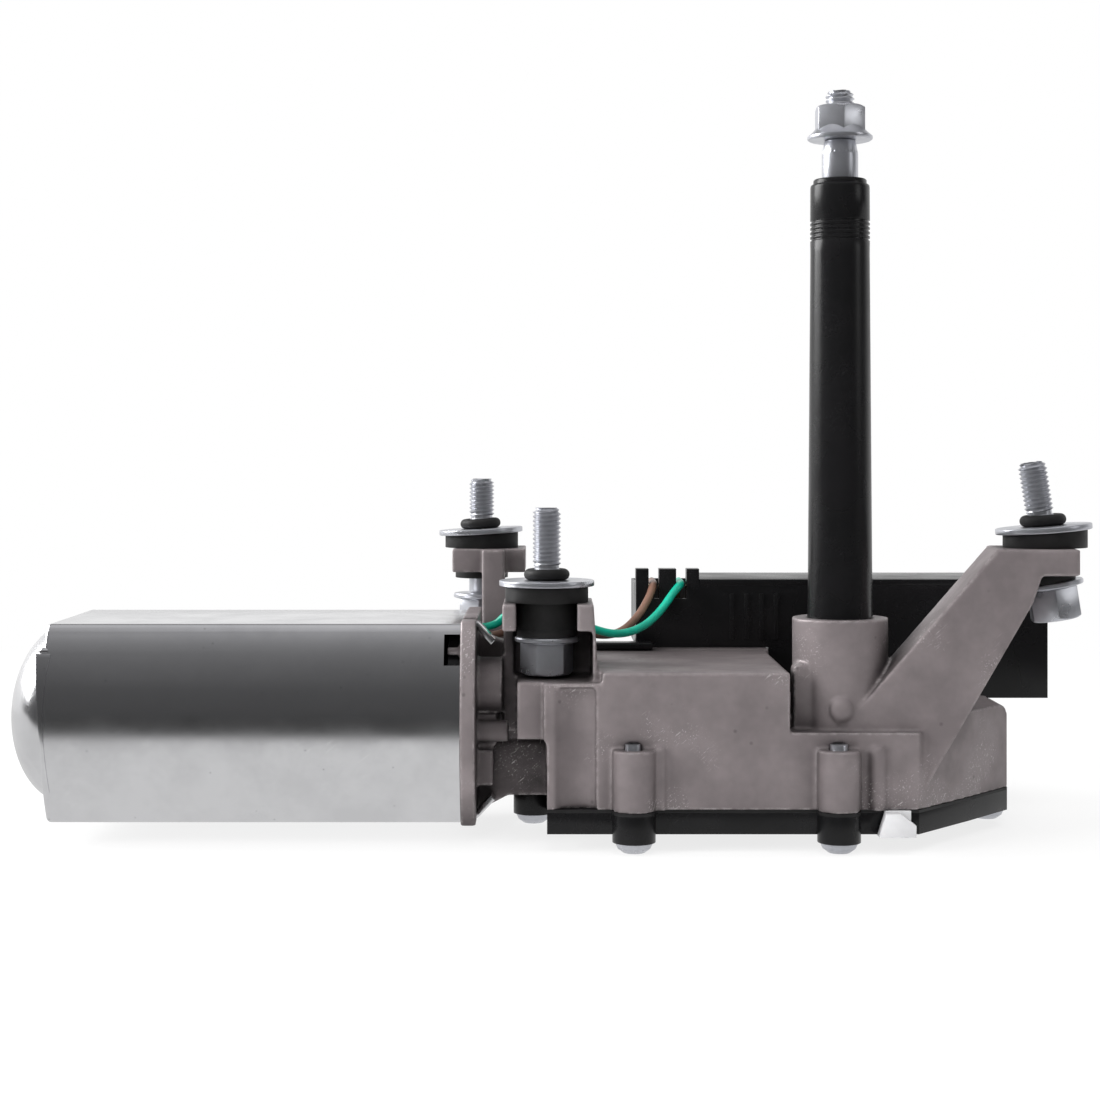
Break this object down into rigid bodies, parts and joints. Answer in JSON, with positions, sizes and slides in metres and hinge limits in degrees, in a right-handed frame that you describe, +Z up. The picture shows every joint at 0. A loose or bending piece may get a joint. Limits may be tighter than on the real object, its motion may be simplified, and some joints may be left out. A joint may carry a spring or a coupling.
{
  "type": "wiper motor",
  "caption": "Rear wiper motor: steel motor can, cast worm gear case with crank and sector drive, tall sleeved output spindle, electronics box and rubber isolated mounting studs.",
  "frame": {"origin": "on the wiper spindle's axis, at the outer face of the bottom cover", "axes": "+Z up along the spindle, +X from the motor towards the spindle along the motor's axis, +Y from the front of the picture to the back"},
  "size_m": [0.3071, 0.1152, 0.2096],
  "materials": {
    "cast_aluminium": "die cast, shot blasted, grey with a warm cast",
    "black_plastic": "moulded black plastic, fine texture",
    "black_rubber": "moulded rubber",
    "white_plastic": "natural moulded plastic",
    "zinc_steel": "bright zinc plated steel with fine scratches",
    "bronze": "sintered bronze, oil soaked",
    "spring_steel": "tempered spring steel",
    "ferrite": "ground ferrite magnet",
    "brass": "stamped brass",
    "carbon": "pressed carbon and copper powder",
    "ground_steel": "ground bright steel",
    "board": "green board with a gloss mask",
    "aluminium_can": "drawn can",
    "chip": "moulded chip body",
    "green_insulation": "soft lead insulation",
    "brown_insulation": "soft lead insulation",
    "copper": "enamelled copper"
  },
  "bodies": {
    "housing": {"gear_housing": "cast_aluminium", "bottom_cover": "black_plastic", "cover_seal": "black_rubber", "vent_plug": "white_plastic", "cover_screws": "zinc_steel", "motor_can": "zinc_steel", "end_bell": "zinc_steel", "rear_bush": "bronze", "bush_retainer": "spring_steel", "field_magnets": "ferrite", "magnet_springs": "spring_steel", "brush_plate": "black_plastic", "brush_holders": "brass", "carbon_brushes": "carbon", "brush_springs": "spring_steel", "front_bearing": "bronze", "worm_end_bush": "bronze", "thrust_pad": "white_plastic", "contact_fingers": "brass", "wheel_axle": "ground_steel", "axle_clip": "spring_steel", "spindle_bushes": "bronze", "top_bush": "bronze", "spindle_seal": "black_rubber", "spindle_sleeve": "black_plastic", "electronics_box": "black_plastic", "box_lid": "black_plastic", "circuit_board": "board", "board_posts": "black_plastic", "relay": "black_plastic", "capacitors": "aluminium_can", "control_chip": "chip", "connector_pins": "brass", "wire_terminals": "brass", "box_screw": "zinc_steel", "green_wire": "green_insulation", "brown_wire": "brown_insulation", "rubber_grommets": "black_rubber", "isolator_tubes": "zinc_steel", "isolator_washers": "zinc_steel", "isolator_rings": "black_rubber", "isolator_bolts": "zinc_steel"},
    "armature": {"armature_shaft": "ground_steel", "rotor_core": "ground_steel", "windings": "copper", "commutator": "copper"},
    "worm_wheel": {"worm_wheel": "white_plastic", "contact_disc": "brass"},
    "spindle": {"wiper_spindle": "ground_steel", "spindle_pinion": "ground_steel", "spindle_clip": "spring_steel", "spindle_nut": "zinc_steel"},
    "link": {"link_plates": "ground_steel", "spindle_washer": "spring_steel"},
    "sector_rod": {"sector_rod": "ground_steel", "link_pin": "ground_steel", "crank_pin": "ground_steel"}
  },
  "joints": [
    {"name": "armature_spin", "type": "hinge", "parent": "housing", "child": "armature", "pos_m": [-0.15, 0.018, 0.0291], "axis": [1, 0, 0], "continuous": true},
    {"name": "wheel_spin", "type": "hinge", "parent": "housing", "child": "worm_wheel", "pos_m": [-0.058, 0.046, 0.0291], "axis": [0, 0, 1], "continuous": true},
    {"name": "spindle_sweep", "type": "hinge", "parent": "housing", "child": "spindle", "pos_m": [0, 0, 0.1066], "axis": [0, 0, 1], "range_deg": [0, 118.83]},
    {"name": "link_swing", "type": "hinge", "parent": "housing", "child": "link", "pos_m": [0, 0, 0.0166], "axis": [0, 0, 1], "range_deg": [-0.5, 47.68]},
    {"name": "rod_swing", "type": "hinge", "parent": "link", "child": "sector_rod", "pos_m": [0.01718, 0.01951, 0.0166], "axis": [0, 0, 1], "range_deg": [-48.26, 0.5]}
  ],
  "couplings": [
    {"joint": "wheel_spin", "follows": "armature_spin", "ratio": -0.027027},
    {"joint": "link_swing", "follows": "spindle_sweep", "ratio": 0.39709},
    {"joint": "rod_swing", "follows": "spindle_sweep", "ratio": -0.40195}
  ]
}
